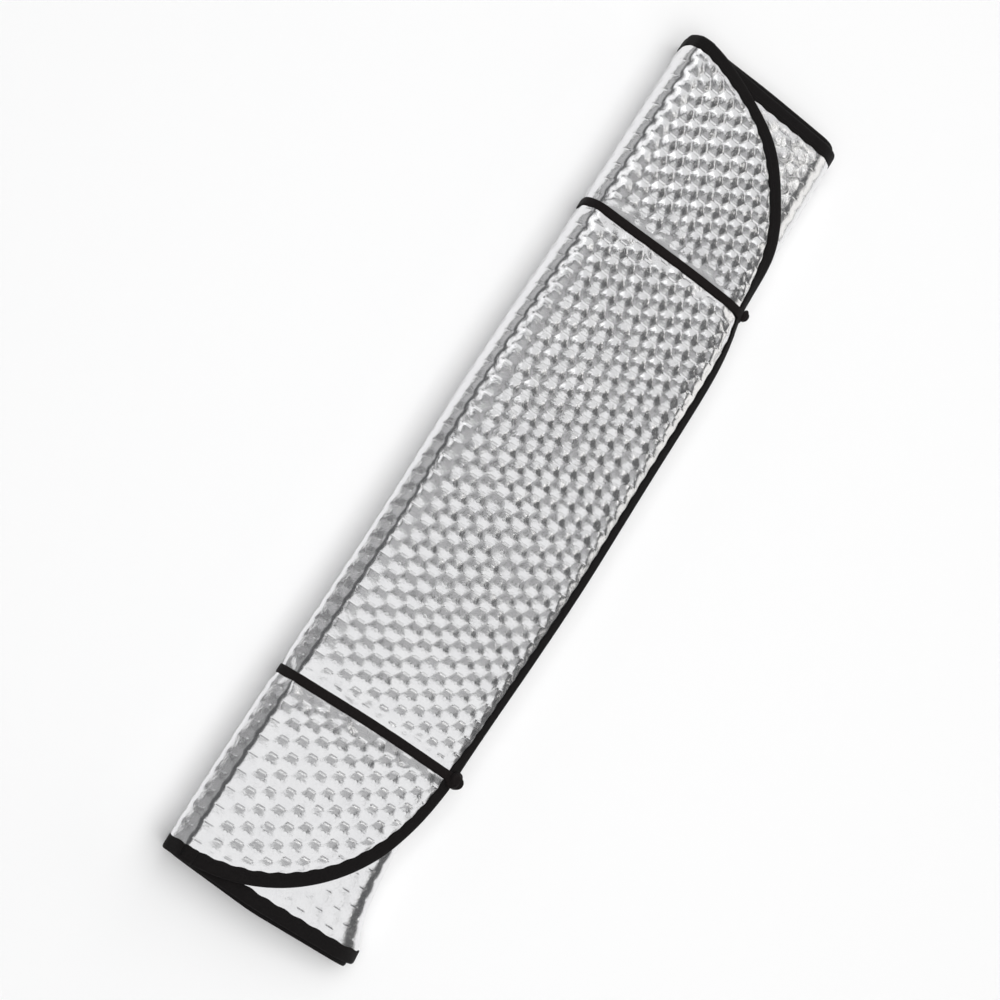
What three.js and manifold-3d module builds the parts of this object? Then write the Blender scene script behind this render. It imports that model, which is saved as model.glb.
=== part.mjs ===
// Windscreen sunshade: one sheet of silver bubble foil, rolled up flat, with a fabric tape folded
// round its edge and two elastic bands sewn to the tape that hold the roll shut.
// Millimetres. X runs along the roll, Z is up, and the loose flap ends on the -Y side.
//
// The sheet is drawn as it was cut and then rolled: s is the distance along the sheet from the
// flap's free edge, x the place along the roll, and n the height off the sheet's middle surface.

import * as THREE from 'three';
import Module from 'manifold-3d';
import { mergeVertices } from 'three/addons/utils/BufferGeometryUtils.js';

// The roll
const rollLength = 600;
const rollWidthHigh = 130; // at the +X end
const rollWidthLow = 139; // at the -X end, where it is rolled looser
const turns = 5;
const layerPitch = 3.4;
const coreBend = 6; // diameter of the innermost bend, at the sheet's middle surface
const tailLength = 68; // flat stretch that the innermost turn ends in
const telescoping = 4; // how far the end in the core lies towards -X
const bendSteps = 6;

// The bubble foil
const foilWall = 2.8;
const pressedWall = 1.2; // under the tape, where the bubbles are crushed
const crushRamp = 3;
const bubblePitch = 11.7; // along a row
const bubbleRow = 10.1; // from row to row
const bubbleRise = 0.8;

// The loose flap
const flapCorner = 117; // radius of its rounded corners
const flapOverhang = 19; // beyond the flat front
const flapDroop = 30; // radius that the overhang droops with
const cornerAngles = [7.5, 15]; // degrees round each corner, where its outline has a point under the tape

// The edge tape
const tapeFlange = 8;
const tapeThickness = 0.5;

// The elastic bands
const bandsBesideCorner = { upper: 14, lower: 6 }; // how far before the flap's corners begin
const bandWidth = 6;
const bandThickness = 1;
const bandRamp = 5; // length in which it comes down from the tape to the foil
const bandLeaves = 2; // steps round the inner side, after which it goes straight to the flap's edge

const seatGap = 0.3;
const trackSide = 0.4; // room beside a band in the track that it presses
const trackSlope = 1.6;

// Worked out from the sizes above
const wallHalf = foilWall / 2;
const pressedHalf = pressedWall / 2;
const tapeInner = pressedHalf + seatGap;
const tapeOuter = tapeInner + tapeThickness;
const tapeReach = seatGap + tapeThickness;
const outerBend = coreBend + 2 * (turns - 1) * layerPitch;
const sideRadius = outerBend / 2 + wallHalf;
const rollTop = outerBend + foilWall;
const topLevel = (turn) => rollTop - wallHalf - turn * layerPitch;
const bottomLevel = (turn) => wallHalf + turn * layerPitch;
const flatHalfHigh = rollWidthHigh / 2 - sideRadius;
const flatHalfLow = rollWidthLow / 2 - sideRadius;
const flatLength = flatHalfHigh + flatHalfLow;
const halfRoll = rollLength / 2;
const flatHalf = (x) => THREE.MathUtils.mapLinear(x, -halfRoll, halfRoll, flatHalfLow, flatHalfHigh);
const cornerStart = halfRoll - flapCorner;
const bandPlaces = {
  elastic_band_upper: cornerStart - bandsBesideCorner.upper,
  elastic_band_lower: -(cornerStart - bandsBesideCorner.lower)
};
const bandFloor = wallHalf - bandThickness; // the band's inner face, flush outside with the foil
const trackDepth = bandFloor - seatGap;

// A stretch of the spiral. Its place function gives, a share t along it, the share of the flat's
// half width (side), an offset from there (y), the height (z) and the outward normal (ny, nz).
function flatStretch(level, from, to, normal) {
  const place = (t) => ({ side: THREE.MathUtils.lerp(from, to, t), y: 0, z: level, ny: 0, nz: normal });
  return { length: (flatLength * Math.abs(to - from)) / 2, steps: 1, place };
}

function bendStretch(side, radius, height) {
  const place = (t) => {
    const angle = Math.PI / 2 - (side > 0 ? t : t + 1) * Math.PI;
    const ny = Math.cos(angle);
    const nz = Math.sin(angle);
    return { side, y: radius * ny, z: height + radius * nz, ny, nz };
  };
  return { length: Math.PI * radius, steps: bendSteps, place };
}

function flapStretch() {
  const place = (t) => {
    const angle = ((1 - t) * flapOverhang) / flapDroop;
    const ny = -Math.sin(angle);
    const nz = Math.cos(angle);
    return { side: -1, y: flapDroop * ny, z: topLevel(0) - flapDroop * (1 - nz), ny, nz };
  };
  return { length: flapOverhang, place };
}

// The whole spiral, from the flap's free edge to the end in the core.
function spiral() {
  const stretches = [flapStretch()];
  for (let turn = 0; turn < turns; turn += 1) {
    const last = turn === turns - 1;
    const top = topLevel(turn);
    const bottom = bottomLevel(turn);
    stretches.push(flatStretch(top, -1, 1, 1));
    stretches.push(bendStretch(1, (top - bottom) / 2, (top + bottom) / 2));
    stretches.push(flatStretch(bottom, 1, last ? 1 - (2 * tailLength) / flatLength : -1, -1));
    if (!last) {
      const next = topLevel(turn + 1);
      stretches.push(bendStretch(-1, (next - bottom) / 2, (next + bottom) / 2));
    }
  }
  let start = 0;
  for (const stretch of stretches) {
    stretch.start = start;
    start += stretch.length;
  }
  return stretches;
}

const stretches = spiral();
const [flap, front, outerSide, , innerSide, second] = stretches;
const tail = stretches[stretches.length - 1];
const sheetLength = tail.start + tail.length;

function placeAt(s) {
  const stretch = stretches.findLast((one) => s >= one.start - 1e-9) ?? flap;
  return stretch.place((s - stretch.start) / stretch.length);
}

// The point of the rolled sheet at s along it, x along the roll and n off its middle surface.
function rolled(s, x, n) {
  const at = placeAt(s);
  const drift = (-telescoping * Math.max(s - second.start, 0)) / (sheetLength - second.start);
  const y = at.side * flatHalf(x) + at.y + n * at.ny;
  return [x + drift, y, at.z + n * at.nz];
}

// Half the sheet's length along the roll at s, a distance inside its outline. The flap has round
// corners, and the end in the core is square.
function halfLength(s, inset) {
  if (s >= flapCorner) return halfRoll - inset;
  const reach = (flapCorner - inset) ** 2 - (flapCorner - s) ** 2;
  return cornerStart + Math.sqrt(Math.max(reach, 0));
}

// The rows across the sheet that its facets run between. A row with a number carries bubbles.
function sheetRows() {
  const rows = [];
  const add = (s, bubbles) => rows.push({ s, bubbles });
  add(0);
  for (const angle of cornerAngles) {
    add(flapCorner * (1 - Math.cos(THREE.MathUtils.degToRad(angle))));
  }
  add(tapeFlange);
  add(tapeFlange + crushRamp, rows.length);
  for (const stretch of stretches.slice(1)) {
    const flat = stretch === front || stretch === second;
    const steps = flat ? Math.round(stretch.length / bubbleRow) : stretch.steps;
    for (let step = 0; step < steps; step += 1) {
      const onFloor = stretch === innerSide && step === 0;
      const bubbled = [front, outerSide, innerSide, second].includes(stretch) && !onFloor;
      add(stretch.start + (stretch.length * step) / steps, bubbled ? rows.length : undefined);
    }
  }
  add(sheetLength - tapeFlange - crushRamp);
  add(sheetLength - tapeFlange);
  add(sheetLength);
  return rows;
}

const rows = sheetRows();

// How a bubble's place on the outer face lies to the flap: bare, beside its edge, or under it.
function underFlap(s, x) {
  if (s < second.start) return 'bare';
  const over = front.start + s - second.start;
  if (Math.abs(x) > halfLength(over, -tapeReach - bubblePitch / 2)) return 'bare';
  const beside = over < flapCorner + bubbleRow && Math.abs(x) > halfLength(over, 2 * bubblePitch);
  return beside ? 'beside' : 'under';
}

// The vertices of the outer face between its edges: the tracks that the bands press, and the
// crests and valleys of the bubbles.
function outerRelief({ s, bubbles }, open) {
  const relief = [];
  const crushed = s <= tapeFlange;
  const tracks = s < second.start ? Object.values(bandPlaces) : [];
  const track = bandWidth / 2 + trackSide;
  for (const middle of tracks) {
    for (const side of [-1, 1]) {
      relief.push([middle + side * track, crushed ? pressedHalf : trackDepth]);
      relief.push([middle + side * (track + trackSlope), crushed ? pressedHalf : wallHalf]);
    }
  }
  if (bubbles === undefined && !crushed) return relief;
  const count = Math.floor((2 * (open - trackSlope)) / bubblePitch);
  for (let column = -count; column <= count; column += 1) {
    const x = (column * bubblePitch) / 2;
    const onTrack = tracks.some((middle) => Math.abs(x - middle) < track + 2 * trackSlope);
    const cover = underFlap(s, x);
    if (onTrack || cover === 'under') continue;
    const crest = !crushed && cover === 'bare' && (column + bubbles) % 2 === 0;
    relief.push([x, crushed ? pressedHalf : wallHalf + (crest ? bubbleRise : 0)]);
  }
  return relief;
}

// One face of the sheet along a row: its places x and heights n, and the knots among them, which
// are the sheet's edge, the line up to which the tape presses it and the line where it is full.
function sheetFace(row, face) {
  const underTape = row.s <= tapeFlange || row.s >= sheetLength - tapeFlange;
  const pressed = halfLength(row.s, tapeFlange);
  const open = underTape ? pressed : halfLength(row.s, tapeFlange + crushRamp);
  const rim = [[halfLength(row.s, 0), pressedHalf], [pressed, pressedHalf]];
  rim.push([open, underTape ? pressedHalf : wallHalf]);
  const line = [];
  const knots = [];
  const add = (x, n, isKnot) => {
    const last = line[line.length - 1];
    if (!last || x - last[0] > 1e-6) line.push([x, n]);
    if (isKnot) knots.push(line.length - 1);
  };
  rim.forEach(([x, n]) => add(-x, face * n, true));
  if (face > 0 && (row.s === tapeFlange || !underTape)) {
    outerRelief(row, open)
      .sort((a, b) => a[0] - b[0])
      .forEach(([x, n]) => add(x, n, false));
  }
  rim.reverse().forEach(([x, n]) => add(x, face * n, true));
  return { line, knots };
}

// A closed solid between two faces that are both given row by row.
function rolledSolid(solidRows, faceOf) {
  const positions = [];
  const index = [];
  const faces = solidRows.map((row) =>
    [1, -1].map((side) => {
      const { line, knots } = faceOf(row, side);
      const vertices = line.map(([x, n]) => {
        positions.push(...rolled(row.s, x, n));
        return { x, n: Math.abs(n), id: positions.length / 3 - 1 };
      });
      return { vertices, knots, ends: [vertices[0], vertices[vertices.length - 1]] };
    })
  );
  const triangle = (a, b, c, flip) => index.push(a.id, flip ? c.id : b.id, flip ? b.id : c.id);
  // Fills the strip between two lines that run along X. Where a facet could be split either way,
  // the split follows the valleys.
  const fill = (near, far, flip) => {
    let i = 0;
    let j = 0;
    while (i < near.length - 1 || j < far.length - 1) {
      const nextNear = near[i + 1];
      const nextFar = far[j + 1];
      let stepNear = !nextFar;
      if (nextNear && nextFar) {
        const ahead = nextNear.x - nextFar.x;
        const level = Math.abs(ahead) < 1e-6;
        stepNear = level ? nextNear.n + far[j].n <= near[i].n + nextFar.n : ahead < 0;
      }
      if (stepNear) {
        triangle(near[i], nextNear, far[j], flip);
        i += 1;
      } else {
        triangle(near[i], nextFar, far[j], flip);
        j += 1;
      }
    }
  };
  const strip = (near, far, flip) => {
    for (let knot = 0; knot < near.knots.length - 1; knot += 1) {
      const [part, farPart] = [near, far].map((face) =>
        face.vertices.slice(face.knots[knot], face.knots[knot + 1] + 1)
      );
      fill(part, farPart, flip);
    }
  };
  for (let k = 0; k < faces.length - 1; k += 1) {
    const [outer, inner] = faces[k];
    const [nextOuter, nextInner] = faces[k + 1];
    strip(outer, nextOuter, false);
    strip(inner, nextInner, true);
    outer.ends.forEach((corner, end) => {
      triangle(corner, nextOuter.ends[end], inner.ends[end], end === 1);
      triangle(nextOuter.ends[end], nextInner.ends[end], inner.ends[end], end === 1);
    });
  }
  const [firstOuter, firstInner] = faces[0];
  const [lastOuter, lastInner] = faces[faces.length - 1];
  strip(firstInner, firstOuter, false);
  strip(lastOuter, lastInner, false);
  const geometry = new THREE.BufferGeometry();
  geometry.setAttribute('position', new THREE.Float32BufferAttribute(positions, 3));
  geometry.setIndex(index);
  return geometry;
}

const wasm = await Module();
wasm.setup();

function toSolid(geometry) {
  const plain = geometry.clone();
  plain.deleteAttribute('normal');
  plain.deleteAttribute('uv');
  const merged = mergeVertices(plain, 1e-4);
  const vertProperties = new Float32Array(merged.attributes.position.array);
  const triVerts = new Uint32Array(merged.index.array);
  return new wasm.Manifold(new wasm.Mesh({ numProp: 3, vertProperties, triVerts }));
}

function toGeometry(solid) {
  const mesh = solid.getMesh();
  const geometry = new THREE.BufferGeometry();
  geometry.setAttribute('position', new THREE.BufferAttribute(mesh.vertProperties, 3));
  geometry.setIndex(new THREE.BufferAttribute(mesh.triVerts, 1));
  return geometry;
}

// A plain rolled layer of one thickness, whose outline lies a distance inside the sheet's.
function plainLayer(half, inset) {
  const first = inset;
  const last = sheetLength - inset;
  const between = rows.map((row) => row.s).filter((s) => s > first + 1e-6 && s < last - 1e-6);
  const layerRows = [first, ...between, last].map((s) => ({ s }));
  return rolledSolid(layerRows, ({ s }, face) => {
    const reach = halfLength(s, inset);
    return { line: [[-reach, face * half], [reach, face * half]], knots: [0, 1] };
  });
}

// The tape is folded over the edge all the way round: a layer round the sheet, hollowed for the
// sheet's pressed edge and open inside the flange.
function edgeTape() {
  const folded = toSolid(plainLayer(tapeOuter, -tapeReach));
  const edgeSpace = toSolid(plainLayer(tapeInner, -seatGap));
  const opening = toSolid(plainLayer(tapeOuter + seatGap / 2, tapeFlange));
  return toGeometry(folded.subtract(edgeSpace).subtract(opening));
}

// One band's loop: flat over the tape at the flap's edge, where it is doubled and sewn, down into
// the track that it presses round the roll, and straight back up to the edge from the inner side.
function elasticBand(middle) {
  const overTape = tapeOuter + seatGap;
  const edge = -tapeReach - seatGap;
  const offTape = tapeFlange + seatGap;
  const onTrack = offTape + bandRamp;
  const backTo = innerSide.start + (innerSide.length * bandLeaves) / bendSteps;
  const floorAt = (s) => {
    const down = THREE.MathUtils.clamp((s - offTape) / bandRamp, 0, 1);
    return THREE.MathUtils.lerp(overTape, bandFloor, down);
  };
  const onLoop = (s) => s < offTape || (s > onTrack && s < backTo + 1e-6);
  const places = rows.map((row) => row.s).filter(onLoop);
  const point = (s, n) => {
    const [, y, z] = rolled(s, middle, n);
    return new THREE.Vector2(y, z);
  };
  const inside = [edge, ...places, offTape, onTrack].sort((a, b) => a - b);
  const lapped = [edge - bandThickness, ...places.filter((s) => s < offTape), offTape];
  const single = inside.filter((s) => s >= offTape + 1e-6);
  const lapTop = overTape + 2 * bandThickness;
  const outside = lapped.map((s) => point(s, lapTop));
  outside.push(point(offTape + bandThickness, floorAt(offTape + bandThickness) + bandThickness));
  single.forEach((s) => outside.push(point(s, floorAt(s) + bandThickness)));
  const shape = new THREE.Shape(outside.reverse());
  const hole = inside.map((s) => point(s, floorAt(s)));
  shape.holes.push(new THREE.Path(hole.reverse()));
  const geometry = new THREE.ExtrudeGeometry(shape, { depth: bandWidth, bevelEnabled: false });
  const along = new THREE.Vector3(1, 0, 0);
  const across = new THREE.Vector3(0, 1, 0);
  const up = new THREE.Vector3(0, 0, 1);
  geometry.applyMatrix4(new THREE.Matrix4().makeBasis(across, up, along));
  geometry.translate(middle - bandWidth / 2, 0, 0);
  return geometry;
}

const foil = new THREE.MeshStandardMaterial({ color: 0xc9cbcd, roughness: 0.32, metalness: 0.85 });
const fabric = new THREE.MeshStandardMaterial({ color: 0x141213, roughness: 0.9, metalness: 0 });
const elastic = new THREE.MeshStandardMaterial({ color: 0x19171a, roughness: 0.85, metalness: 0 });

const sunshade = new THREE.Group();

function addPiece(name, geometry, material) {
  const mesh = new THREE.Mesh(geometry, material);
  mesh.name = name;
  sunshade.add(mesh);
}

addPiece('foil_sheet', rolledSolid(rows, sheetFace), foil);
addPiece('edge_tape', edgeTape(), fabric);
for (const [name, middle] of Object.entries(bandPlaces)) {
  addPiece(name, elasticBand(middle), elastic);
}

// The origin is on the surface that the roll lies on, below the middle of the whole part.
const box = new THREE.Box3().setFromObject(sunshade);
const centre = box.getCenter(new THREE.Vector3());
sunshade.position.set(-centre.x, -centre.y, -box.min.z);

export default sunshade;
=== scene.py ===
# Looks of the rolled windscreen sunshade: the bubble foil with its creases, the folded edge tape
# and the two elastic bands, seen from above on a pale floor.
# The pieces are worked out in millimetres, in the sheet's own coordinates: s is the distance along
# the sheet from the flap's free edge, x the place along the roll and n the height off its middle.

import math
import bpy
import numpy as np
from mathutils import Matrix, Vector


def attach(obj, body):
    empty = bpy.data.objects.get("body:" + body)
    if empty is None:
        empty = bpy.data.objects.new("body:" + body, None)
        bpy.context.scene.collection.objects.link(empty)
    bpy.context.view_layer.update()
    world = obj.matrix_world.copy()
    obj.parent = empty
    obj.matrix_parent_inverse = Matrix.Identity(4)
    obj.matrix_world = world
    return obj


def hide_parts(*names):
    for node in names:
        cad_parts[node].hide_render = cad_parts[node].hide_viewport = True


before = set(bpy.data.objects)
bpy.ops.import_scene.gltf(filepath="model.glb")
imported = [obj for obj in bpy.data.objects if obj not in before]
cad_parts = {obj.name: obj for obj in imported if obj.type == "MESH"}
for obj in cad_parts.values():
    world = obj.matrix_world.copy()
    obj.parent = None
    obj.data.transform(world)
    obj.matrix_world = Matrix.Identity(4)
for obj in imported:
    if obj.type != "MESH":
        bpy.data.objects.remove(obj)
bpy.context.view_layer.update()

MM = 0.001
SEED = 11

# Sizes of the rolled sheet, in mm
HALF_ROLL = 300.0
TURNS = 5
LAYER_PITCH = 3.4
CORE_BEND = 6.0
TAIL_LENGTH = 68.0
SIDE_RADIUS = 18.0
FLAT_HALF_HIGH = 65.0 - SIDE_RADIUS      # at the +X end
FLAT_HALF_LOW = 69.5 - SIDE_RADIUS       # at the -X end
FLAT_LENGTH = FLAT_HALF_HIGH + FLAT_HALF_LOW
OUTER_BEND = CORE_BEND + 2 * (TURNS - 1) * LAYER_PITCH
WALL_HALF = 1.4
PRESSED_HALF = 0.6
FLAP_CORNER = 126.0
FLAP_OVERHANG = 19.0
TAPE_FLANGE = 8.0
TAPE_REACH = 0.8
TAPE_TUCK = 0.36                         # the share of the tape that is tucked under along the flap's edge
BAND_PLACES = {"upper": 169.0, "lower": -177.0}
ORIGIN_X, ORIGIN_Y = 2.0, 1.105          # the frame's origin lies below the middle of the whole part

# How the soft sheet lies, in mm
BUBBLE_PITCH = 11.7
BUBBLE_ROW = BUBBLE_PITCH * math.sqrt(3) / 2
BUBBLE_RADIUS = 6.5                      # where its dome would reach the valleys
CREST = 2.25
VALLEY = 0.65
ROUNDNESS, FACETS = 0.2, 0.83            # how much of a dome and how much of a six-sided point it is
POINTEDNESS = 1.3
BUBBLE_TILT = 0.12
MIDDLE_FULLNESS, FULLNESS_GAIN = 0.84, 0.16      # at x = 0, and what it gains up to the +X end
FULLNESS_DIP = (0.14, -100, 90)
SECOND_FULLNESS = 0.3                    # of the bubbles beside the flap's corners
BEND_FLATTENING = 0.5                    # what the +Y side's bend takes from them
GRIP_WIDTH = 13.0                        # how far from a band the roll is still pinched
GRIP_TOP = 0.03
GRIP_STRIP, STRIP_FADE = 9.0, 6.0        # half the strip in which it crushes the bubbles
CRUSHED_LEVEL = 0.35
FLAT_FILM_RISE = 0.5                     # of film without bubbles, above the valleys
DROOP_LOW, DROOP_GAIN, DROOP_AT_BAND = 0.3, 0.18, 0.6      # of the flap's overhang, in radians
EDGE_WAVE, LONG_WAVE, SHORT_WAVE = 0.5, 0.35, 0.25
LOW_FLARE = 7.0                          # how far the side below the flap opens at the -X end
FLARE_START, FLARE_LENGTH = 262.0, 30.0
HIGH_END_SLOPE = 4.0                     # how far the inner layers sink beside the flap's corners
LOW_END_SLOPE = 9.0
SECOND_DRIFT = -2.8                      # how far along the roll the inner layers have slipped
INNER_DRIFT = -2.0
INNER_SPREAD = 3.2                       # and how far they stand out at both ends

# Where the flap's edge and the side below it are drawn in: how far, at which x, and how wide
LOW_PULL = (10.0, -190, 140)
FLAP_PULLS = [(4.2, 193, 26), (3.6, 250, 32), (8.0, 294, 14)]
SIDE_PULLS = [(6.0, -190, 140), (3.7, -232, 40), (4.5, 165, 35)]
PULL_FADES = 85.0                        # how far from the edge the low pull is gone
FLAP_FOLLOWS = 95.0                      # how far in the flap's film moves with its edge

# The creased +Y side: each size at the -X end, and what it gains towards the +X end
RIDGE_RADIUS = (8.0, 14.0)
CREASED_BAND = (9.5, -5.7)
EDGE_RADIUS = (3.0, 6.0)
WALL_DEGREES = (105.0, -10.0)
RIDGE_ANGLE = math.radians(20)
CREASE_ANGLE = math.radians(48)
CREASE_RADIUS = 4.0
FOOT_RADIUS = 14.0


def top_level(turn):
    return OUTER_BEND + WALL_HALF - turn * LAYER_PITCH


def bottom_level(turn):
    return WALL_HALF + turn * LAYER_PITCH


def flat_half(x):
    share = (x + HALF_ROLL) / (2 * HALF_ROLL)
    return FLAT_HALF_LOW + (FLAT_HALF_HIGH - FLAT_HALF_LOW) * share


def bell(x, middle, width):
    return np.exp(-(((x - middle) / width) ** 2))


def pulled(x, pulls):
    """The sum of some bells, each given as how high, where and how wide."""
    return sum(far * bell(x, middle, width) for far, middle, width in pulls)


def grip(x):
    """1 at a band, falling to 0 away from it."""
    return sum(bell(x, middle, GRIP_WIDTH) for middle in BAND_PLACES.values())


def flap_droop(x):
    """How far the flap's overhang has turned down at its edge, in radians: most under the upper band."""
    towards_high = np.clip((x + 100) / 160, 0, 1)
    return DROOP_LOW + DROOP_GAIN * towards_high + DROOP_AT_BAND * bell(x, BAND_PLACES["upper"], 32)


def flap_drawn_in(s, x):
    """How far the flap's edge lies inwards of a straight one: it is rolled a little askew."""
    return pulled(x, [LOW_PULL]) * np.clip((PULL_FADES - s) / PULL_FADES, 0, 1) + pulled(x, FLAP_PULLS)


def side_drawn_in(x):
    """How far the bands draw in the side of the roll below the flap's edge."""
    flare = np.clip((-x - FLARE_START) / FLARE_LENGTH, 0, 1) ** 2
    return pulled(x, SIDE_PULLS) - LOW_FLARE * flare


def spiral():
    """The stretches of the rolled sheet, from the flap's free edge to the end in the core."""
    found = [{"kind": "flap", "length": FLAP_OVERHANG}]
    for turn in range(TURNS):
        last = turn == TURNS - 1
        top, bottom = top_level(turn), bottom_level(turn)
        found.append({"kind": "flat", "length": FLAT_LENGTH, "level": top, "from": -1, "to": 1, "normal": 1})
        radius = (top - bottom) / 2
        found.append({"kind": "bend", "length": math.pi * radius, "side": 1, "radius": radius,
                      "height": (top + bottom) / 2})
        to = 1 - 2 * TAIL_LENGTH / FLAT_LENGTH if last else -1
        found.append({"kind": "flat", "length": FLAT_LENGTH * (1 - to) / 2, "level": bottom, "from": 1,
                      "to": to, "normal": -1})
        if not last:
            following = top_level(turn + 1)
            radius = (following - bottom) / 2
            found.append({"kind": "bend", "length": math.pi * radius, "side": -1, "radius": radius,
                          "height": (following + bottom) / 2})
    start = 0.0
    for stretch in found:
        stretch["start"] = start
        start += stretch["length"]
    return found


STRETCHES = spiral()
FRONT, OUTER_SIDE, UNDERSIDE, INNER_SIDE, SECOND = STRETCHES[1:6]
SHEET_LENGTH = STRETCHES[-1]["start"] + STRETCHES[-1]["length"]


def half_length(s, inset):
    """Half the sheet's length along the roll at s, a distance inside its outline."""
    s = np.asarray(s, float)
    reach = (FLAP_CORNER - inset) ** 2 - (FLAP_CORNER - s) ** 2
    curved = HALF_ROLL - FLAP_CORNER + np.sqrt(np.maximum(reach, 0))
    return np.where(s >= FLAP_CORNER, HALF_ROLL - inset, curved)


def edge_distance(s, x):
    """How far inside the sheet's outline a place lies."""
    along = HALF_ROLL - np.abs(x)
    across = np.minimum(s, SHEET_LENGTH - s)
    middle = HALF_ROLL - FLAP_CORNER
    round_corner = FLAP_CORNER - np.hypot(np.maximum(np.abs(x) - middle, 0), FLAP_CORNER - s)
    corner = (s < FLAP_CORNER) & (np.abs(x) > middle)
    return np.where(corner, round_corner, np.minimum(along, across))


def side_section(t, x, radius):
    """The +Y side of the outermost turn: a soft ridge, a creased flat band and a steep side below it.
    Gives how far out and up a place lies from the middle of a round bend, and its slope."""
    upper = np.clip((x + 70) / 110, 0, 1)
    upper = upper * upper * (3 - 2 * upper)
    sizes = (RIDGE_RADIUS, CREASED_BAND, EDGE_RADIUS, WALL_DEGREES)
    ridge, band, edge, wall_degrees = (low + gain * upper for low, gain in sizes)
    first, crease, steep = RIDGE_ANGLE, CREASE_ANGLE, np.radians(wall_degrees)
    used = ridge * math.sin(first) + CREASE_RADIUS * (math.sin(crease) - math.sin(first))
    used = used + band * math.cos(crease)
    lead = radius - used - edge * (1 - math.sin(crease))
    drop = ridge * (1 - math.cos(first)) + CREASE_RADIUS * (math.cos(first) - math.cos(crease))
    drop = drop + band * math.sin(crease) + edge * (math.cos(crease) - np.cos(steep))
    wall = (2 * radius - drop - FOOT_RADIUS * (1 + np.cos(steep))) / np.sin(steep)
    out_at_wall = lead + used + edge * (np.sin(steep) - math.sin(crease))
    back = out_at_wall + wall * np.cos(steep) - FOOT_RADIUS * np.sin(steep)
    # each piece's radius or length, the slope that it ends with (none on a straight piece) and begins with
    pieces = [(lead, None, 0), (ridge, first, 0), (CREASE_RADIUS + 0 * x, crease, first),
              (band, None, crease), (edge, steep, crease), (wall, None, steep),
              (FOOT_RADIUS + 0 * x, math.pi, steep), (back, None, math.pi)]
    lengths = [size if end is None else size * (end - begin) for size, end, begin in pieces]
    d = t * sum(lengths)
    out, up, angle = 0 * x, radius + 0 * x, 0 * x
    for (size, end, begin), length in zip(pieces, lengths):
        along = np.clip(d, 0, length)
        d = d - length
        if end is None:
            out = out + along * np.cos(begin)
            up = up - along * np.sin(begin)
        else:
            turned = begin + along / size
            out = out + size * (np.sin(turned) - np.sin(begin))
            up = up - size * (np.cos(begin) - np.cos(turned))
            angle = angle + along / size
    return out, up, angle


def on_spiral(s, x):
    """Where the middle surface lies on the tight spiral, and its outward direction."""
    y, z = np.zeros(s.shape), np.zeros(s.shape)
    ny, nz = np.zeros(s.shape), np.zeros(s.shape)
    starts = np.array([stretch["start"] for stretch in STRETCHES])
    which = np.clip(np.searchsorted(starts, s, "right") - 1, 0, len(STRETCHES) - 1)
    for k in np.unique(which):
        at, stretch = which == k, STRETCHES[k]
        t = (s[at] - stretch["start"]) / stretch["length"]
        if stretch["kind"] == "flap":
            droop = FLAP_OVERHANG / flap_droop(x[at])
            angle = (1 - t) * FLAP_OVERHANG / droop
            ny[at], nz[at] = -np.sin(angle), np.cos(angle)
            y[at] = -flat_half(x[at]) + droop * ny[at]
            z[at] = top_level(0) - droop * (1 - nz[at])
        elif stretch["kind"] == "flat":
            side = stretch["from"] + (stretch["to"] - stretch["from"]) * t
            y[at], z[at], nz[at] = side * flat_half(x[at]), stretch["level"], stretch["normal"]
        elif stretch is OUTER_SIDE:
            out, up, angle = side_section(t, x[at], stretch["radius"])
            ny[at], nz[at] = np.sin(angle), np.cos(angle)
            y[at] = flat_half(x[at]) + out
            z[at] = stretch["height"] + up
        else:
            angle = math.pi / 2 - (t if stretch["side"] > 0 else t + 1) * math.pi
            ny[at], nz[at] = np.cos(angle), np.sin(angle)
            y[at] = stretch["side"] * flat_half(x[at]) + stretch["radius"] * ny[at]
            z[at] = stretch["height"] + stretch["radius"] * nz[at]
    return y, z, ny, nz


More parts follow.
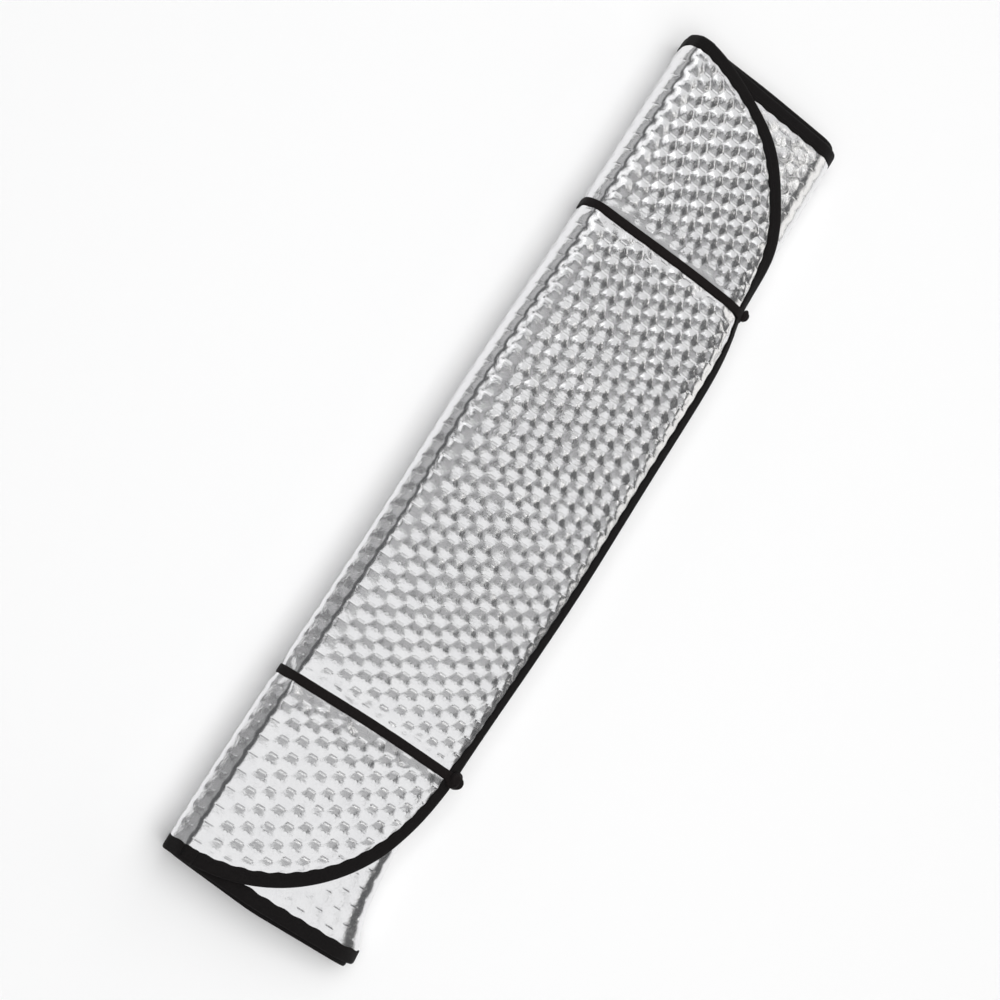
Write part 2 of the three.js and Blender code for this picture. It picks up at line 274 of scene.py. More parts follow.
def rolled(s, x, n):
    """The points of the rolled sheet in the row frame, in mm."""
    s, x, n = np.broadcast_arrays(np.asarray(s, float), np.asarray(x, float), np.asarray(n, float))
    y, z, ny, nz = on_spiral(s, x)
    y, z = y + n * ny, z + n * nz
    held = grip(x)
    # the inner layers stand out at the ends, less so at the +Y side
    second = np.clip((s - INNER_SIDE["start"]) / INNER_SIDE["length"], 0, 1)
    third = np.clip((s - SECOND["start"] - SECOND["length"]) / OUTER_SIDE["length"], 0, 1)
    slip = SECOND_DRIFT * second + (INNER_DRIFT - SECOND_DRIFT) * third + INNER_SPREAD * third * x / HALF_ROLL
    drift = slip * np.clip((70 - y) / 65, 0, 1)
    # the flap's edge, the side below it and the waves along the roll
    near_edge = np.clip(1 - edge_distance(s, x) / FLAP_FOLLOWS, 0, 1) * np.clip((135 - s) / 40, 0, 1)
    y = y + flap_drawn_in(s, x) * near_edge * (1.4 - 0.4 * near_edge)
    y = y + EDGE_WAVE * np.sin(x / 41 + 0.7) * (1 - held)
    below = np.clip((s - OUTER_SIDE["start"]) / OUTER_SIDE["length"], 0, 1) * (np.minimum(y, 0) / 66) ** 2
    y = y + below * side_drawn_in(x)
    wave = LONG_WAVE * np.sin(x / 29 + y / 23) + SHORT_WAVE * np.sin(x / 17 - y / 31 + 1.3)
    z = z * (1 - GRIP_TOP * held) + wave * np.clip(z / 36, 0, 1) ** 2 * (1 - held)
    ends = np.clip((np.abs(x) - 185) / 40, 0, 1)
    sunk = np.where(x > 0, HIGH_END_SLOPE, LOW_END_SLOPE) * ends * np.clip((10 - y) / 75, 0, 1) ** 1.4
    sunk = sunk * np.clip(z / 34, 0, 1)
    z = z - sunk * np.clip(0.35 + 0.65 * (s - OUTER_SIDE["start"]) / OUTER_SIDE["length"], 0.35, 1)
    return np.stack([x + drift + ORIGIN_X, y + ORIGIN_Y, z], axis=-1)


# The bubbles
rng = np.random.default_rng(SEED)
BUBBLE_ROWS = int(SHEET_LENGTH / BUBBLE_ROW) + 3
BUBBLE_COLUMNS = int(2 * HALF_ROLL / BUBBLE_PITCH) + 4
FULLNESS = np.clip(rng.normal(0.93, 0.11, (BUBBLE_ROWS, BUBBLE_COLUMNS)), 0.45, 1.1)
LEAN = rng.uniform(-1, 1, (BUBBLE_ROWS, BUBBLE_COLUMNS, 2))


def bubble_relief(s, x):
    """0 in the valleys to 1 on a full bubble's crest."""
    best = np.zeros(s.shape)
    row0 = np.round(s / BUBBLE_ROW).astype(int)
    for step in (-1, 0, 1):
        row = row0 + step
        odd = (row % 2) * 0.5
        column = np.round(x / BUBBLE_PITCH - odd).astype(int)
        for side in (-1, 0, 1):
            k = column + side
            i = np.clip(row, 0, BUBBLE_ROWS - 1)
            j = np.clip(k + BUBBLE_COLUMNS // 2, 0, BUBBLE_COLUMNS - 1)
            dx = x - (k + odd) * BUBBLE_PITCH
            ds = s - row * BUBBLE_ROW
            hexagon = np.maximum(np.abs(dx), np.abs(dx * 0.5) + np.abs(ds * 0.866))
            apart = (ROUNDNESS * np.hypot(dx, ds) + FACETS * hexagon) / BUBBLE_RADIUS
            slant = 1 + BUBBLE_TILT * (LEAN[i, j, 0] * dx + LEAN[i, j, 1] * ds) / BUBBLE_RADIUS
            dome = np.maximum(1 - apart ** POINTEDNESS, 0) * FULLNESS[i, j] * slant
            best = np.maximum(best, dome)
    return np.clip(best, 0, 1.05)


def outer_height(s, x):
    """The outer face's height off the middle surface, and how much of the bubbles shows there."""
    inside = edge_distance(s, x)
    shown = np.clip((inside - TAPE_FLANGE) / 4, 0, 1)
    # the bands press the bubbles flat in a strip with an uneven edge
    band = np.minimum(*(np.abs(x - middle) for middle in BAND_PLACES.values()))
    spread = GRIP_STRIP + 2.0 * np.sin(s / 5.3) + 1.2 * np.sin(s / 2.1 + 1)
    on_band = np.where(s < SECOND["start"], np.clip((spread - band) / STRIP_FADE, 0, 1), 0)
    # under the flap there are none, so that the flap lies close
    over = FRONT["start"] + s - SECOND["start"]
    over = over - flap_drawn_in(np.clip(over, 0, None), x)
    flap_side = np.where(over < FLAP_CORNER, half_length(np.clip(over, 0, None), 0), HALF_ROLL) - np.abs(x)
    covered = np.where(s >= SECOND["start"], np.clip((flap_side + TAPE_REACH + 7) / 3, 0, 1), 0)
    hidden = s > SECOND["start"] + SECOND["length"]
    on_bend = np.clip((s - OUTER_SIDE["start"] + 3) / 4, 0, 1) * np.where(s < SECOND["start"], 1, 0)
    fullness = MIDDLE_FULLNESS + FULLNESS_GAIN * x / HALF_ROLL - pulled(x, [FULLNESS_DIP])
    fullness = fullness * (1 - BEND_FLATTENING * on_bend)
    fullness = np.where(s < SECOND["start"], fullness, SECOND_FULLNESS)
    bubbles = shown * (1 - 0.85 * on_band) * np.where(hidden, 0, 1 - covered) * fullness
    # on the floor they are pressed level with the rest
    foot = (s - (OUTER_SIDE["start"] + OUTER_SIDE["length"])) / (OUTER_SIDE["length"] * 0.25)
    back = (INNER_SIDE["start"] - s) / (INNER_SIDE["length"] * 0.25)
    on_floor = np.clip(np.minimum(foot + 1, back + 1), 0, 1)
    crest = CREST - (CREST - WALL_HALF) * on_floor
    height = VALLEY + (crest - VALLEY) * bubble_relief(s, x)
    full = bubbles * height + (1 - bubbles) * (VALLEY + FLAT_FILM_RISE)
    full = full * (1 - on_band) + np.minimum(full, CRUSHED_LEVEL) * on_band
    n = PRESSED_HALF + (full - PRESSED_HALF) * np.clip((inside - TAPE_FLANGE + 2) / 4, 0, 1)
    return n, bubbles


def spaced(start, stop, step):
    count = max(1, round((stop - start) / step))
    return list(np.linspace(start, stop, count + 1)[:-1])


# How far apart the foil's mesh has its vertices, in mm
FINE = BUBBLE_PITCH / 8
COARSE = BUBBLE_PITCH / 4
PLAIN = 24.0
RIMS = (0.0, 4.0, 9.0)                   # under the tape, from the sheet's edge inwards


def foil_rows():
    """The rows of the foil's mesh: where each lies along the sheet and how its columns are spaced."""
    rows = []
    for degrees in np.arange(0, 21, 2.5):
        rows.append((FLAP_CORNER * (1 - math.cos(math.radians(degrees))), "fine"))
    rows += [(s, "fine") for s in spaced(rows[-1][0] + FINE, UNDERSIDE["start"], FINE)]
    rows += [(s, "half") for s in spaced(UNDERSIDE["start"], SECOND["start"], COARSE * 0.9)]
    rows += [(s, "wedge") for s in spaced(SECOND["start"], SECOND["start"] + SECOND["length"], FINE)]
    for stretch in STRETCHES[6:]:
        steps = 3 if stretch["kind"] == "flat" else 12
        rows += [(s, "far") for s in spaced(stretch["start"], stretch["start"] + stretch["length"],
                                            stretch["length"] / steps)]
    rows.append((SHEET_LENGTH, "far"))
    return rows


def foil_columns(kind, face):
    """Places along the roll that a row has vertices at. A wedge row is fine only near its two ends."""
    if face < 0 or kind == "far":
        return np.arange(-12, 13) * PLAIN
    if kind == "fine":
        return np.arange(-204, 205) * FINE
    if kind == "half":
        return np.arange(-102, 103) * COARSE
    edge = np.arange(112, 205) * FINE
    return np.concatenate([-edge[::-1], np.arange(-6, 7) * PLAIN, edge])


def zip_rows(near, far, xs, faces, flip):
    """Fills the strip between two rows with triangles, taking the nearer next vertex each time."""
    i = j = 0
    while i < len(near) - 1 or j < len(far) - 1:
        if j == len(far) - 1:
            step_near = True
        elif i == len(near) - 1:
            step_near = False
        else:
            step_near = xs[near[i + 1]] <= xs[far[j + 1]]
        if step_near:
            triangle = (near[i], near[i + 1], far[j])
            i += 1
        else:
            triangle = (near[i], far[j + 1], far[j])
            j += 1
        faces.append(triangle[::-1] if flip else triangle)


def tube_faces(count, across):
    """The faces of a closed ring of cross-sections."""
    faces = []
    for i in range(count):
        j = (i + 1) % count
        for k in range(across):
            m = (k + 1) % across
            faces.append((i * across + k, i * across + m, j * across + m, j * across + k))
    return faces


def make_mesh(name, points, faces, uv=None, attributes=None):
    """A piece from points in millimetres."""
    mesh = bpy.data.meshes.new(name)
    mesh.from_pydata((np.asarray(points) * MM).tolist(), [], faces)
    mesh.validate()
    if uv is not None:
        layer = mesh.uv_layers.new(name="sheet")
        corners = np.zeros(len(mesh.loops), np.int32)
        mesh.loops.foreach_get("vertex_index", corners)
        layer.data.foreach_set("uv", (np.asarray(uv)[corners] * MM).astype(np.float32).ravel())
    for key, values in (attributes or {}).items():
        mesh.attributes.new(key, "FLOAT", "POINT").data.foreach_set("value", np.asarray(values, np.float32))
    mesh.polygons.foreach_set("use_smooth", [True] * len(mesh.polygons))
    piece = bpy.data.objects.new(name, mesh)
    bpy.context.scene.collection.objects.link(piece)
    return piece


def build_foil():
    """The whole sheet as one closed mesh: an outer and an inner face, joined all round."""
    s_all, x_all, face_all = [], [], []
    rows = []
    for s, kind in foil_rows():
        pair = []
        for face in (1, -1):
            reach = float(half_length(s, 0))
            columns = foil_columns(kind, face)
            rims = [reach - inset for inset in RIMS]
            inner = columns[np.abs(columns) < rims[-1] - 0.7]
            xs = np.concatenate([[-r for r in rims], inner, rims[::-1]])
            first = len(s_all)
            s_all += [s] * len(xs)
            x_all += list(xs)
            face_all += [face] * len(xs)
            pair.append(list(range(first, first + len(xs))))
        rows.append(pair)
    s_all, x_all, face_all = np.array(s_all), np.array(x_all), np.array(face_all)
    outer, bubbles = outer_height(s_all, x_all)
    inside = edge_distance(s_all, x_all)
    ramp = np.clip((inside - TAPE_FLANGE + 2) / 4, 0, 1)
    inner = PRESSED_HALF + (WALL_HALF - PRESSED_HALF) * ramp
    n = np.where(face_all > 0, outer, -inner)
    points = rolled(s_all, x_all, n)
    points[:, 2] = np.maximum(points[:, 2], 0.0)
    faces = []
    for (outer_row, inner_row), (next_outer, next_inner) in zip(rows, rows[1:]):
        zip_rows(outer_row, next_outer, x_all, faces, False)
        zip_rows(inner_row, next_inner, x_all, faces, True)
        for end, flip in ((0, False), (-1, True)):
            quad = (outer_row[end], next_outer[end], next_inner[end], inner_row[end])
            faces.append(quad[::-1] if flip else quad)
    zip_rows(rows[0][1], rows[0][0], x_all, faces, False)
    zip_rows(rows[-1][0], rows[-1][1], x_all, faces, False)
    shown = np.where(face_all > 0, bubbles, 0)
    return make_mesh("foil_with_bubbles", points, faces, np.stack([x_all, s_all], 1), {"bubbles": shown})


# The edge tape
def tape_stations():
    """Places round the sheet's outline, each with the direction inwards."""
    found = []
    middle = HALF_ROLL - FLAP_CORNER
    for x in spaced(-middle, middle, 2.4):
        found.append((x, 0.0, 0.0, 1.0))
    for angle in np.radians(np.arange(0, 90, 1.25)):
        found.append((middle + FLAP_CORNER * math.sin(angle), FLAP_CORNER * (1 - math.cos(angle)),
                      -math.sin(angle), math.cos(angle)))
    edge = spaced(FLAP_CORNER, FRONT["start"] + FLAT_LENGTH, 2.4)
    for stretch in STRETCHES[2:]:
        shown = stretch["start"] <= SECOND["start"]
        steps = 30 if shown else 16
        if stretch["kind"] == "flat":
            steps = 44 if shown else 12
        edge += spaced(stretch["start"], stretch["start"] + stretch["length"], stretch["length"] / steps)
    found += [(HALF_ROLL, s, -1.0, 0.0) for s in edge]
    found.append((HALF_ROLL, SHEET_LENGTH, -1.0, -1.0))
    found += [(x, SHEET_LENGTH, 0.0, -1.0) for x in spaced(HALF_ROLL - 12, -HALF_ROLL + 12, -24)]
    found.append((-HALF_ROLL, SHEET_LENGTH, 1.0, -1.0))
    found += [(-HALF_ROLL, s, 1.0, 0.0) for s in edge[::-1]]
    for angle in np.radians(np.arange(88.75, 0, -1.25)):
        found.append((-middle - FLAP_CORNER * math.sin(angle), FLAP_CORNER * (1 - math.cos(angle)),
                      math.sin(angle), math.cos(angle)))
    return np.array(found)


# Across the tape: how far inside the outline, and how high off the middle surface
TAPE_PROFILE = np.array([
    (8.0, 0.95), (8.1, 1.3), (7.6, 1.45), (5.8, 1.5), (4.2, 1.42), (2.2, 1.46), (0.7, 1.36), (-0.3, 1.0),
    (-0.75, 0.45), (-0.8, 0.0), (-0.75, -0.45), (-0.3, -1.0), (0.7, -1.3), (2.2, -1.4), (4.2, -1.36),
    (5.8, -1.4), (7.6, -1.4), (8.1, -1.3), (8.0, -0.95), (4.0, -0.8), (0.8, -0.75), (0.2, 0.0),
    (0.8, 0.75), (4.0, 0.8),
])


def build_tape():
    """The tape as one ring round the sheet's outline, folded over its edge."""
    stations = tape_stations()
    count, across = len(stations), len(TAPE_PROFILE)
    base = stations[:, None, :]
    inset = TAPE_PROFILE[None, :, 0] + np.zeros((count, 1))
    step = np.hypot(*(np.diff(stations[:, :2], axis=0, append=stations[:1, :2]).T))
    along = np.concatenate([[0], np.cumsum(step)[:-1]])
    # the tape puffs a little over the bubbles that it is sewn across
    ripple = np.sin(along * 2 * math.pi / BUBBLE_PITCH)[:, None]
    puff = 0.12 * ripple * np.clip(inset / 4, 0, 1)
    inset = inset + np.where(inset > 5, 0.35 * ripple, 0)
    # it is tucked under a little along the flap's straight edge
    from_corner = HALF_ROLL - FLAP_CORNER - np.abs(base[..., 0])
    straight = np.where(base[..., 1] < 0.01, np.clip(from_corner / 22, 0, 1), 0)
    inset = np.where(inset > 0, inset * (1 - TAPE_TUCK * straight), inset)
    x = base[..., 0] + base[..., 2] * inset
    s = base[..., 1] + base[..., 3] * inset
    below = base[..., 1] > OUTER_SIDE["start"] + OUTER_SIDE["length"] * 0.7
    floor = below & (base[..., 1] < SECOND["start"])
    height = np.broadcast_to(TAPE_PROFILE[None, :, 1], x.shape)
    n = height + np.where(np.abs(height) > 1.25, np.sign(height) * puff, 0) * np.where(floor, 0, 1)
    n = np.where(floor, np.minimum(n, 1.4), n)
    points = rolled(s, x, n).reshape(-1, 3)
    points[:, 2] = np.maximum(points[:, 2], 0.0)
    profile = np.concatenate([[0], np.cumsum(np.hypot(*np.diff(TAPE_PROFILE, axis=0).T))])
    uv = np.stack([np.repeat(along, across), np.tile(profile, count)], 1)
    return make_mesh("folded_edge_tape", points, tube_faces(count, across), uv)


# The elastic bands: how high their middle lies over the sheet's, and the share of the -Y bend after which
# they go straight back to the flap's edge
LIFT_ON_TAPE, LIFT_ON_FOIL, LIFT_BELOW = 1.95, 0.95, 0.8
BAND_LEAVES = 0.36
BAND_WIGGLE = 0.5
# their cross-section: two cords with a thinner web between them
BAND_PROFILE = np.array([
    (-3.0, 0.0), (-2.75, 0.42), (-2.1, 0.55), (-1.2, 0.5), (-0.5, 0.22), (0.5, 0.22), (1.2, 0.5), (2.1, 0.55),
    (2.75, 0.42), (3.0, 0.0), (2.7, -0.4), (1.5, -0.5), (-1.5, -0.5), (-2.7, -0.4),
])


def build_band(which):
    """A band's loop: over the flap from its edge, round the +Y side and the floor, and back to the edge."""
    middle = BAND_PLACES[which]
    leaves = INNER_SIDE["start"] + INNER_SIDE["length"] * BAND_LEAVES
    s = np.concatenate([np.linspace(-1.3, 14, 14), np.arange(16, leaves, 2.0)])
    lift = np.interp(s, [TAPE_FLANGE, TAPE_FLANGE + 5], [LIFT_ON_TAPE, LIFT_ON_FOIL])
    lift = np.where(s > OUTER_SIDE["start"] + OUTER_SIDE["length"] * 0.6, LIFT_BELOW, lift)
    path = rolled(s, middle, lift)
    closing = np.linspace(0, 1, 16)[1:-1, None]
    path = np.concatenate([path, path[-1] + (path[0] - path[-1]) * closing])
    for _ in range(2):
        path = (np.roll(path, 1, 0) + 2 * path + np.roll(path, -1, 0)) / 4
    ahead = np.roll(path, -1, 0) - np.roll(path, 1, 0)
    ahead /= np.linalg.norm(ahead, axis=1)[:, None]
    outward = np.cross(np.array([-1.0, 0, 0]), ahead)
    count, across = len(path), len(BAND_PROFILE)
    points = np.zeros((count, across, 3))
    along = np.cumsum(np.linalg.norm(np.diff(path, axis=0, prepend=path[:1]), axis=1))
    wiggle = BAND_WIGGLE * np.sin(along / 23 + middle)
    for k, (wide, high) in enumerate(BAND_PROFILE):
        points[:, k] = path + outward * high
        points[:, k, 0] = path[:, 0] + wide + wiggle
    points = points.reshape(-1, 3)
    points[:, 2] = np.maximum(points[:, 2], 0.0)
    uv = np.stack([np.repeat(along, across), np.tile(BAND_PROFILE[:, 0], count)], 1)
    return make_mesh(f"elastic_band_{which}_woven", points, tube_faces(count, across), uv)


def build_tack(which, size, place):
    """The bunched end of a band where it is knotted at the flap's edge: a ball of a few tight loops."""
    rings, around = 26, 40
    talls = np.linspace(0, math.pi, rings)
    turns = np.linspace(0, 2 * math.pi, around, endpoint=False)
    tall, turn = np.meshgrid(talls, turns, indexing="ij")
    bulge = 1 + 0.13 * np.cos(3 * turn + 4 * tall) * np.sin(tall) + 0.06 * np.cos(7 * tall + turn)
    ball = np.stack([np.sin(tall) * np.cos(turn), np.sin(tall) * np.sin(turn), np.cos(tall)], -1)
    points = (ball * bulge[..., None] * np.array(size) + np.array(place)).reshape(-1, 3)
    faces = []
    for i in range(rings - 1):
        for k in range(around):
            m = (k + 1) % around
            a, b, c, d = i * around + k, i * around + m, (i + 1) * around + m, (i + 1) * around + k
            if i == 0:
                faces.append((d, c, a))
            elif i == rings - 2:
                faces.append((a, d, b))
            else:
                faces.append((a, d, c, b))
    return make_mesh(f"band_knot_{which}", points, faces)


foil_piece = build_foil()
tape_piece = build_tape()
bands = {which: build_band(which) for which in BAND_PLACES}
edge_at = {which: rolled(2.0, BAND_PLACES[which], 2.6) for which in BAND_PLACES}
knots = {
    "upper": build_tack("upper", (3.9, 2.8, 2.0), edge_at["upper"] + np.array([1.5, -0.4, 0.2])),
    "lower": build_tack("lower", (5.2, 5.0, 3.4), edge_at["lower"] + np.array([-1.0, -0.6, 0.6])),
}


# Materials
FOIL_TONES = [(0.80, 0.80, 0.815, 1), (0.90, 0.90, 0.905, 1)]
FOIL_ROUGHNESS = (0.18, 0.26)
FOIL_BUMP = 0.0006                       # in metres, as are the thread's
THREAD_BUMP = 0.0003
RING_RADIUS, RING_WIDTH, RING_HEIGHT = 1.3, 0.8, 0.12      # the small ring in a bubble's crown, in mm
CREASE_WIDTH, CREASE_LENGTH, CREASE_DEPTH = 0.9, (2.0, 3.6), 0.7
WRINKLE_HEIGHT, FINE_HEIGHT = 0.35, 0.03
TAPE_TONES = [(0.0025, 0.002, 0.0022), (0.010, 0.0085, 0.0085)]
ELASTIC_TONES = [(0.003, 0.0022, 0.0022), (0.012, 0.009, 0.009)]
TAPE_THREAD, ELASTIC_THREAD = 0.7, 0.9
STITCH_LENGTH, STITCH_SHARE = 3.2, 0.75  # along the sewn line: the pitch, and how much of it is thread
STITCH_LINE, STITCH_WIDTH = 3.0, 0.45


def new_material(name):
    material = bpy.data.materials.new(name)
    material.use_nodes = True
    tree = material.node_tree
    return material, tree, tree.nodes["Principled BSDF"]


def node(tree, kind, settings=None, inputs=None):
    made = tree.nodes.new(kind)
    for key, value in (settings or {}).items():
        setattr(made, key, value)
    for key, value in (inputs or {}).items():
        if isinstance(value, bpy.types.NodeSocket):
            tree.links.new(value, made.inputs[key])
        else:
            made.inputs[key].default_value = value
    return made


def maths(tree, operation, a, b=0.0, clamp=False):
    return node(tree, "ShaderNodeMath", {"operation": operation, "use_clamp": clamp}, {0: a, 1: b}).outputs[0]


def mapped(tree, value, low, high, to_low, to_high):
    made = node(tree, "ShaderNodeMapRange", {}, {0: value, 1: low, 2: high, 3: to_low, 4: to_high})
    return made.outputs[0]


def foil_material():
    material, tree, shader = new_material("metallised bubble foil")
    uv = node(tree, "ShaderNodeUVMap", {"uv_map": "sheet"}).outputs[0]
    apart = node(tree, "ShaderNodeSeparateXYZ", {}, {0: uv})
    u = maths(tree, "DIVIDE", apart.outputs[0], BUBBLE_PITCH * MM)
    v = maths(tree, "DIVIDE", apart.outputs[1], 2 * BUBBLE_ROW * MM)

    def from_centre(shift):
        """Distance in mm from the nearest bubble centre of every other row."""
        found = []
        for value, scale in ((u, BUBBLE_PITCH), (v, 2 * BUBBLE_ROW)):
            placed = maths(tree, "FRACT", maths(tree, "ADD", value, 0.5 + shift + 100))
            found.append(maths(tree, "MULTIPLY", maths(tree, "SUBTRACT", placed, 0.5), scale))
        squares = [maths(tree, "POWER", maths(tree, "ABSOLUTE", one), 2.0) for one in found]
        return maths(tree, "SQRT", maths(tree, "ADD", *squares))

    radius = maths(tree, "MINIMUM", from_centre(0.0), from_centre(0.5))
    shown = node(tree, "ShaderNodeAttribute", {"attribute_name": "bubbles"}).outputs["Fac"]
    place = node(tree, "ShaderNodeTexCoord").outputs["Object"]
    wrinkle = node(tree, "ShaderNodeTexNoise", {}, {"Vector": place, "Scale": 190.0, "Detail": 3.0,
                                                    "Roughness": 0.55, "Distortion": 0.6}).outputs[0]
    fine = node(tree, "ShaderNodeTexNoise", {}, {"Vector": place, "Scale": 700.0, "Detail": 2.0}).outputs[0]
    # a sharp crease across the roll between each bubble and the next
    creases = []
    for shift in (0.0, 0.5):
        off = []
        for value, move, scale in ((u, 100.0, BUBBLE_PITCH), (v, 100.5, 2 * BUBBLE_ROW)):
            placed = maths(tree, "FRACT", maths(tree, "ADD", value, shift + move))
            placed = maths(tree, "MULTIPLY", maths(tree, "SUBTRACT", placed, 0.5), scale)
            off.append(maths(tree, "ABSOLUTE", placed))
        thin = mapped(tree, off[0], 0.0, CREASE_WIDTH, 1.0, 0.0)
        short = mapped(tree, off[1], *CREASE_LENGTH, 1.0, 0.0)
        creases.append(maths(tree, "MULTIPLY", thin, short))
    groove = maths(tree, "MULTIPLY", maths(tree, "MAXIMUM", *creases), CREASE_DEPTH)
    # the small ring in each bubble's crown, and the film drawn tight in between
    from_ring = maths(tree, "ABSOLUTE", maths(tree, "SUBTRACT", radius, RING_RADIUS))
    ring = mapped(tree, from_ring, 0.0, RING_WIDTH, RING_HEIGHT, 0.0)
    height = maths(tree, "MULTIPLY", maths(tree, "SUBTRACT", ring, groove), shown)
    height = maths(tree, "ADD", height, maths(tree, "MULTIPLY", wrinkle, WRINKLE_HEIGHT))
    height = maths(tree, "ADD", height, maths(tree, "MULTIPLY", fine, FINE_HEIGHT))
    bump = node(tree, "ShaderNodeBump", {}, {"Height": height, "Strength": 1.0, "Distance": FOIL_BUMP})
    tree.links.new(bump.outputs[0], shader.inputs["Normal"])
    tone = node(tree, "ShaderNodeTexNoise", {}, {"Vector": place, "Scale": 60.0, "Detail": 2.0}).outputs[0]
    ramp = node(tree, "ShaderNodeMix", {"data_type": "RGBA"}, {0: tone})
    ramp.inputs[6].default_value, ramp.inputs[7].default_value = FOIL_TONES
    tree.links.new(ramp.outputs[2], shader.inputs["Base Color"])
    rough = mapped(tree, fine, 0.3, 0.7, *FOIL_ROUGHNESS)
    tree.links.new(rough, shader.inputs["Roughness"])
    shader.inputs["Metallic"].default_value = 1.0
    return material


def woven_material(name, tones, thread, stitches):
    """A dark woven ribbon: thread ribs across and along it, a little fuzz, and where stitches is set a
    sewn line along it."""
    material, tree, shader = new_material(name)
    uv = node(tree, "ShaderNodeUVMap", {"uv_map": "sheet"}).outputs[0]
    place = node(tree, "ShaderNodeTexCoord").outputs["Object"]
    apart = node(tree, "ShaderNodeSeparateXYZ", {}, {0: uv})
    ribs = maths(tree, "SINE", maths(tree, "MULTIPLY", apart.outputs[0], 2 * math.pi / (thread * MM)))
    rows = maths(tree, "SINE", maths(tree, "MULTIPLY", apart.outputs[1], 2 * math.pi / (thread * 1.4 * MM)))
    weave = maths(tree, "MULTIPLY", ribs, rows)
    fuzz = node(tree, "ShaderNodeTexNoise", {}, {"Vector": place, "Scale": 900.0, "Detail": 3.0}).outputs[0]
    height = maths(tree, "ADD", maths(tree, "MULTIPLY", weave, 0.4), fuzz)
    if stitches:
        along = maths(tree, "FRACT", maths(tree, "DIVIDE", apart.outputs[0], STITCH_LENGTH * MM))
        on = maths(tree, "LESS_THAN", along, STITCH_SHARE)
        off_line = maths(tree, "ABSOLUTE", maths(tree, "SUBTRACT", apart.outputs[1], STITCH_LINE * MM))
        line = maths(tree, "MULTIPLY", on, mapped(tree, off_line, 0.0, STITCH_WIDTH * MM, 1.0, 0.0))
        height = maths(tree, "ADD", height, maths(tree, "MULTIPLY", line, 1.2))
    bump = node(tree, "ShaderNodeBump", {}, {"Height": height, "Strength": 0.6, "Distance": THREAD_BUMP})
    tree.links.new(bump.outputs[0], shader.inputs["Normal"])
    ramp = node(tree, "ShaderNodeMix", {"data_type": "RGBA"}, {0: fuzz})
    ramp.inputs[6].default_value, ramp.inputs[7].default_value = [(*tone, 1) for tone in tones]
    tree.links.new(ramp.outputs[2], shader.inputs["Base Color"])
    shader.inputs["Roughness"].default_value = 0.85
    shader.inputs["Specular IOR Level"].default_value = 0.25
    shader.inputs["Sheen Weight"].default_value = 0.02
    shader.inputs["Sheen Roughness"].default_value = 0.5
    return material


foil_look = foil_material()
tape_look = woven_material("black binding tape", TAPE_TONES, TAPE_THREAD, True)
elastic_look = woven_material("black elastic", ELASTIC_TONES, ELASTIC_THREAD, False)
foil_piece.data.materials.append(foil_look)
tape_piece.data.materials.append(tape_look)
for piece in list(bands.values()) + list(knots.values()):
    piece.data.materials.append(elastic_look)

# The frame's side of each piece
for piece in [foil_piece, tape_piece, *bands.values(), *knots.values()]:
    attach(piece, "root")
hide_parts("foil_sheet")
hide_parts("edge_tape")
for which, band in bands.items():
    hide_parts(f"elastic_band_{which}")

# Floor, light and camera
bpy.ops.mesh.primitive_plane_add(size=6, location=(0, 0, 0))
floor = bpy.context.active_object
floor.name = "floor"
floor_look, floor_tree, floor_shader = new_material("pale floor")
floor_shader.inputs["Base Color"].default_value = (0.93, 0.93, 0.93, 1)
floor_shader.inputs["Roughness"].default_value = 0.9
floor.data.materials.append(floor_look)

WARM = (1.0, 0.985, 0.955)


def soft_box(name, place, size, power, aim=(0, 0, 0), colour=(1, 1, 1)):
    """A soft light that faces the aim, or straight down where there is none."""
    data = bpy.data.lights.new(name, "AREA")
    data.shape = "RECTANGLE"
    data.size, data.size_y = size
    data.energy = power
    data.color = colour
    light = bpy.data.objects.new(name, data)
    bpy.context.scene.collection.objects.link(light)
    light.location = place
    if aim is not None:
        light.rotation_euler = (Vector(aim) - Vector(place)).to_track_quat("-Z", "Y").to_euler()
    return light


# The low box is over the -X half, which it makes the bright one, and the dimmer far and between boxes carry
# on from it. The high box stands off the other end and lights the flanks of the bubbles that face it, the
# ridge and shoulder boxes those towards +Y, and the two back boxes the side. The wedge boxes and the wall
# box are for the layer beside the flap's corners. The fill only lights what is not shiny.
soft_box("low_box", (-0.5, -0.55, 1.5), (1.1, 2.1), 6.3, None)
soft_box("far_box", (-1.5, -0.55, 1.5), (0.9, 2.1), 3.0, None)
soft_box("high_box", (1.9, -0.15, 1.4), (1.6, 2.3), 8.6)
soft_box("between_box", (0.35, -0.4, 1.5), (0.5, 0.9), 0.55, None)
soft_box("ridge_box", (1.05, 0.65, 1.6), (1.6, 0.6), 3.2, None)
soft_box("shoulder_box", (1.2, 0.17, 1.58), (0.4, 0.34), 0.25, None)
soft_box("back_box", (0.85, 2.1, 0.8), (1.5, 1.2), 2.4)
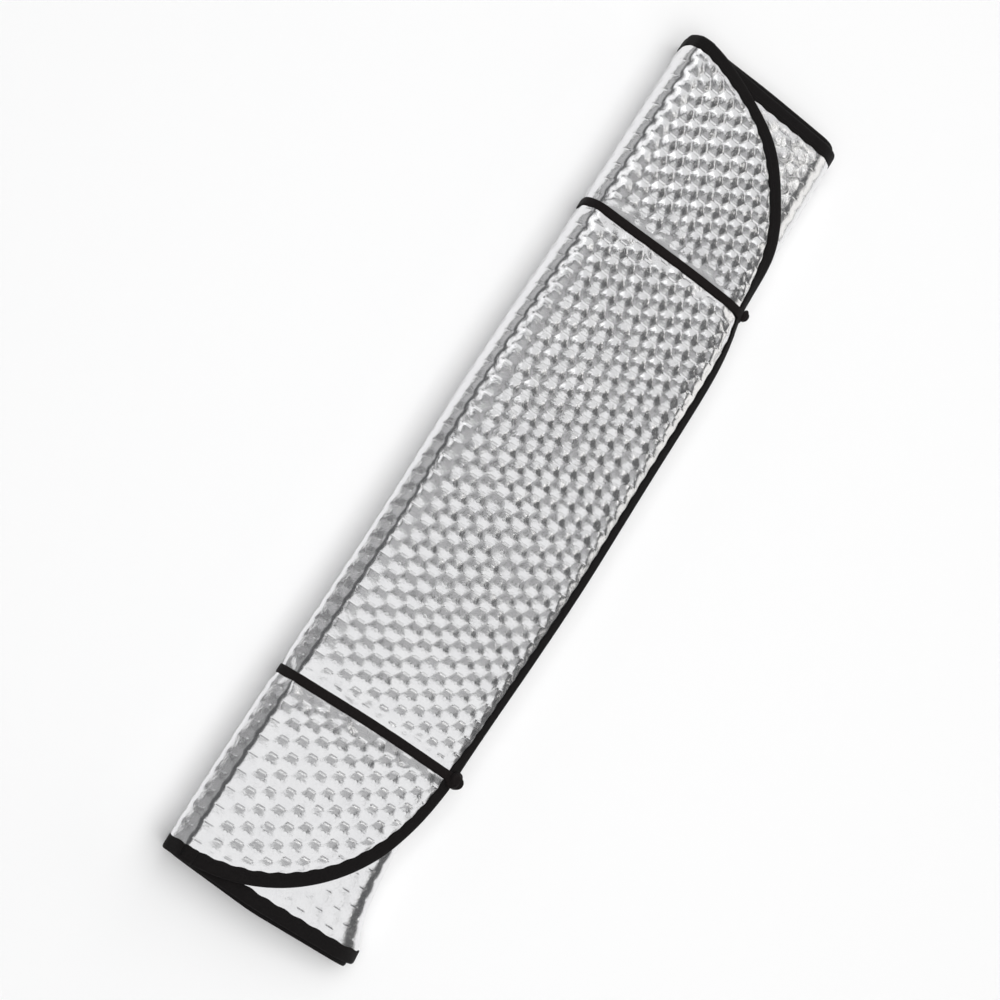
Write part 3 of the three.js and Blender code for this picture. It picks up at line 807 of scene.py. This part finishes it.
soft_box("low_back_box", (-0.9, 2.1, 0.8), (1.8, 1.2), 1.9)
soft_box("upper_wedge_box", (0.95, -0.73, 1.5), (0.36, 0.3), 0.5, None, WARM)
soft_box("lower_wedge_box", (-0.35, -1.3, 1.5), (0.6, 1.2), 1.0, None, WARM)
soft_box("wall_box", (1.3, -2.1, 0.8), (2.2, 1.2), 8.0, colour=WARM)
fill = soft_box("fill_box", (0.0, 0.2, 2.4), (3.0, 3.0), 50)
fill.visible_glossy = False

world = bpy.data.worlds.new("studio")
bpy.context.scene.world = world
world.use_nodes = True
world.node_tree.nodes["Background"].inputs[0].default_value = (0.9, 0.9, 0.92, 1)
world.node_tree.nodes["Background"].inputs[1].default_value = 0.1

CAMERA_TILT = 15.75      # degrees from straight above, towards +Y
CAMERA_SIDE = 11.14      # and towards -X
CAMERA_ROLL = 57.86
CAMERA_TARGET = Vector((0.0023, 0.0011, 0.018))
CAMERA_DISTANCE = 1.2425
CAMERA_LENS = 72
CAMERA_SHIFT = (-0.0232, -0.0179)


def camera_axes(tilt, side, roll):
    tilt, side, roll = (math.radians(a) for a in (tilt, side, roll))
    back = Vector((-math.sin(side), math.sin(tilt) * math.cos(side), math.cos(tilt) * math.cos(side)))
    across = (Vector((1, 0, 0)) - back * back.x).normalized()
    upward = back.cross(across)
    right = across * math.cos(roll) - upward * math.sin(roll)
    up = across * math.sin(roll) + upward * math.cos(roll)
    return right, up, back


right, up, back = camera_axes(CAMERA_TILT, CAMERA_SIDE, CAMERA_ROLL)
camera_data = bpy.data.cameras.new("camera")
camera_data.lens = CAMERA_LENS
camera_data.sensor_width = 36
camera_data.shift_x, camera_data.shift_y = CAMERA_SHIFT
camera = bpy.data.objects.new("camera", camera_data)
bpy.context.scene.collection.objects.link(camera)
turn = Matrix((right, up, back)).transposed().to_4x4()
camera.matrix_world = Matrix.Translation(CAMERA_TARGET + back * CAMERA_DISTANCE) @ turn
bpy.context.scene.camera = camera
bpy.context.scene.view_settings.view_transform = "Standard"
